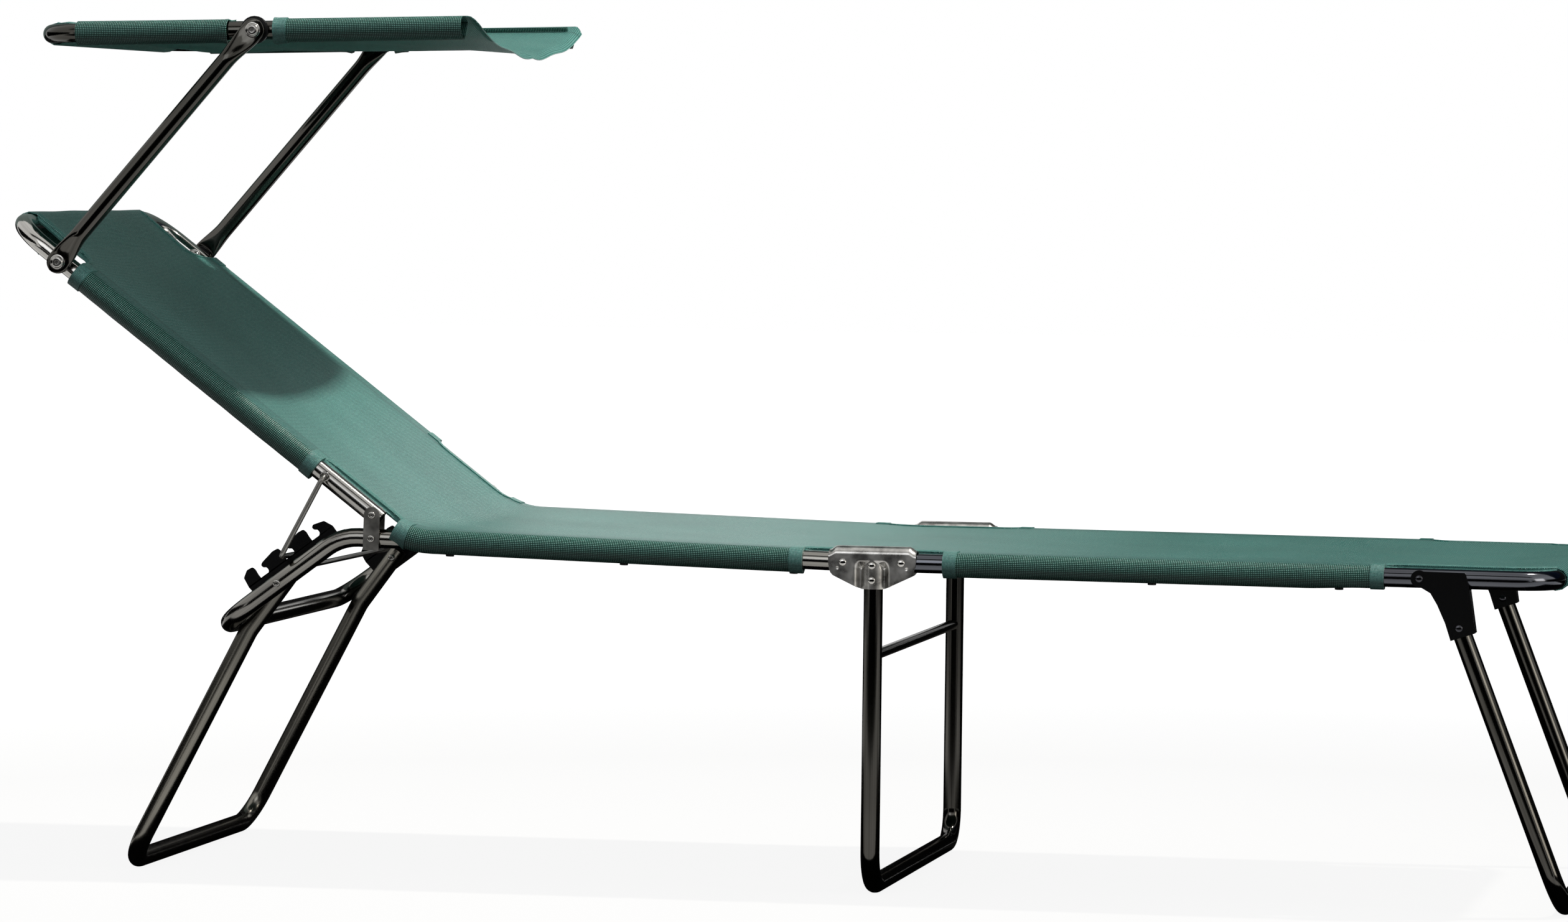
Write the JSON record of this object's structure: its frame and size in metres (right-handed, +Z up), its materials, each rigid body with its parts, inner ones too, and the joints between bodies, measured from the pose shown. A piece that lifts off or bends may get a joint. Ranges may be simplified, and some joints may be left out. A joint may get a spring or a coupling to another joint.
{
  "type": "sun lounger with canopy",
  "caption": "Folding sun lounger on three bent-tube legs, with a ratchet backrest and a tilting sun canopy on two side arms.",
  "frame": {"origin": "on the floor, at the middle of the underside of the mid leg's floor bar", "axes": "+X towards the foot end, +Y across to the far side, +Z up"},
  "size_m": [1.8485, 0.6542, 1.0076],
  "materials": {
    "dark_chrome": "polished dark chrome plating",
    "polished_steel": "polished pressed steel",
    "grey_steel": "plain steel, satin",
    "rivet_steel": "satin steel",
    "black_coat": "black, satin",
    "green_textilene": "woven dark teal green"
  },
  "bodies": {
    "seat_head": {"seat_head_frame": "dark_chrome", "seat_head_fabric": "green_textilene", "ratchet_plate_near": "black_coat", "hinge_strap_near": "grey_steel", "strap_rivet_near": "rivet_steel", "backrest_pivot_near": "rivet_steel", "head_leg_pivot_near": "rivet_steel", "ratchet_plate_far": "black_coat", "hinge_strap_far": "grey_steel", "strap_rivet_far": "rivet_steel", "backrest_pivot_far": "rivet_steel", "head_leg_pivot_far": "rivet_steel", "head_sleeve_stud_1_near": "black_coat", "head_sleeve_stud_2_near": "black_coat", "head_sleeve_stud_3_near": "black_coat", "head_sleeve_stud_1_far": "black_coat", "head_sleeve_stud_2_far": "black_coat", "head_sleeve_stud_3_far": "black_coat"},
    "backrest": {"backrest_frame": "dark_chrome", "backrest_fabric": "green_textilene"},
    "strut": {"backrest_strut": "grey_steel"},
    "canopy_arms": {"canopy_arm_near": "dark_chrome", "friction_disc_lower_near": "black_coat", "canopy_bolt_lower_near": "rivet_steel", "friction_disc_upper_near": "black_coat", "canopy_bolt_upper_near": "rivet_steel", "canopy_arm_far": "dark_chrome", "friction_disc_lower_far": "black_coat", "canopy_bolt_lower_far": "rivet_steel", "friction_disc_upper_far": "black_coat", "canopy_bolt_upper_far": "rivet_steel"},
    "canopy": {"canopy_frame": "dark_chrome", "canopy_fabric": "green_textilene"},
    "head_leg": {"head_leg_tube": "dark_chrome"},
    "mid_leg": {"mid_leg_tube": "dark_chrome", "mid_leg_crossbar": "dark_chrome", "seat_bracket_near": "polished_steel", "seat_pivot_head_near": "rivet_steel", "seat_pivot_foot_near": "rivet_steel", "mid_leg_rivet_upper_near": "rivet_steel", "mid_leg_rivet_lower_near": "rivet_steel", "seat_bracket_far": "polished_steel", "seat_pivot_head_far": "rivet_steel", "seat_pivot_foot_far": "rivet_steel", "mid_leg_rivet_upper_far": "rivet_steel", "mid_leg_rivet_lower_far": "rivet_steel"},
    "seat_foot": {"seat_foot_frame": "dark_chrome", "seat_foot_fabric": "green_textilene", "foot_leg_pivot_near": "rivet_steel", "foot_leg_pivot_far": "rivet_steel", "foot_sleeve_stud_1_near": "black_coat", "foot_sleeve_stud_2_near": "black_coat", "foot_sleeve_stud_1_far": "black_coat", "foot_sleeve_stud_2_far": "black_coat"},
    "foot_leg": {"foot_leg_tube": "dark_chrome", "foot_bracket_near": "black_coat", "foot_leg_rivet_near": "rivet_steel", "foot_bracket_far": "black_coat", "foot_leg_rivet_far": "rivet_steel"}
  },
  "joints": [
    {"name": "backrest_fold", "type": "hinge", "parent": "seat_head", "child": "backrest", "pos_m": [-0.59079, 0, 0.42709], "axis": [0, 1, 0], "range_deg": [0, 60]},
    {"name": "strut_swing", "type": "hinge", "parent": "backrest", "child": "strut", "pos_m": [-0.64806, 0, 0.47072], "axis": [0, 1, 0], "range_deg": [0, 15]},
    {"name": "canopy_arms_tilt", "type": "hinge", "parent": "backrest", "child": "canopy_arms", "pos_m": [-0.96967, 0, 0.71572], "axis": [0, -1, 0], "range_deg": [-25, 90]},
    {"name": "canopy_tilt", "type": "hinge", "parent": "canopy_arms", "child": "canopy", "pos_m": [-0.73646, 0, 0.98878], "axis": [0, 1, 0], "range_deg": [-60, 60]},
    {"name": "head_leg_fold", "type": "hinge", "parent": "seat_head", "child": "head_leg", "pos_m": [-0.70476, 0, 0.34491], "axis": [0, -1, 0], "range_deg": [0, 112]},
    {"name": "head_half_fold", "type": "hinge", "parent": "seat_head", "child": "mid_leg", "pos_m": [-0.034, 0, 0.385], "axis": [0, 1, 0], "range_deg": [0, 78]},
    {"name": "foot_half_fold", "type": "hinge", "parent": "mid_leg", "child": "seat_foot", "pos_m": [0.034, 0, 0.385], "axis": [0, 1, 0], "range_deg": [0, 78]},
    {"name": "foot_leg_fold", "type": "hinge", "parent": "seat_foot", "child": "foot_leg", "pos_m": [0.62799, 0, 0.38137], "axis": [0, 1, 0], "range_deg": [0, 108]}
  ],
  "couplings": [
    {"joint": "strut_swing", "follows": "backrest_fold", "ratio": 0.25}
  ]
}
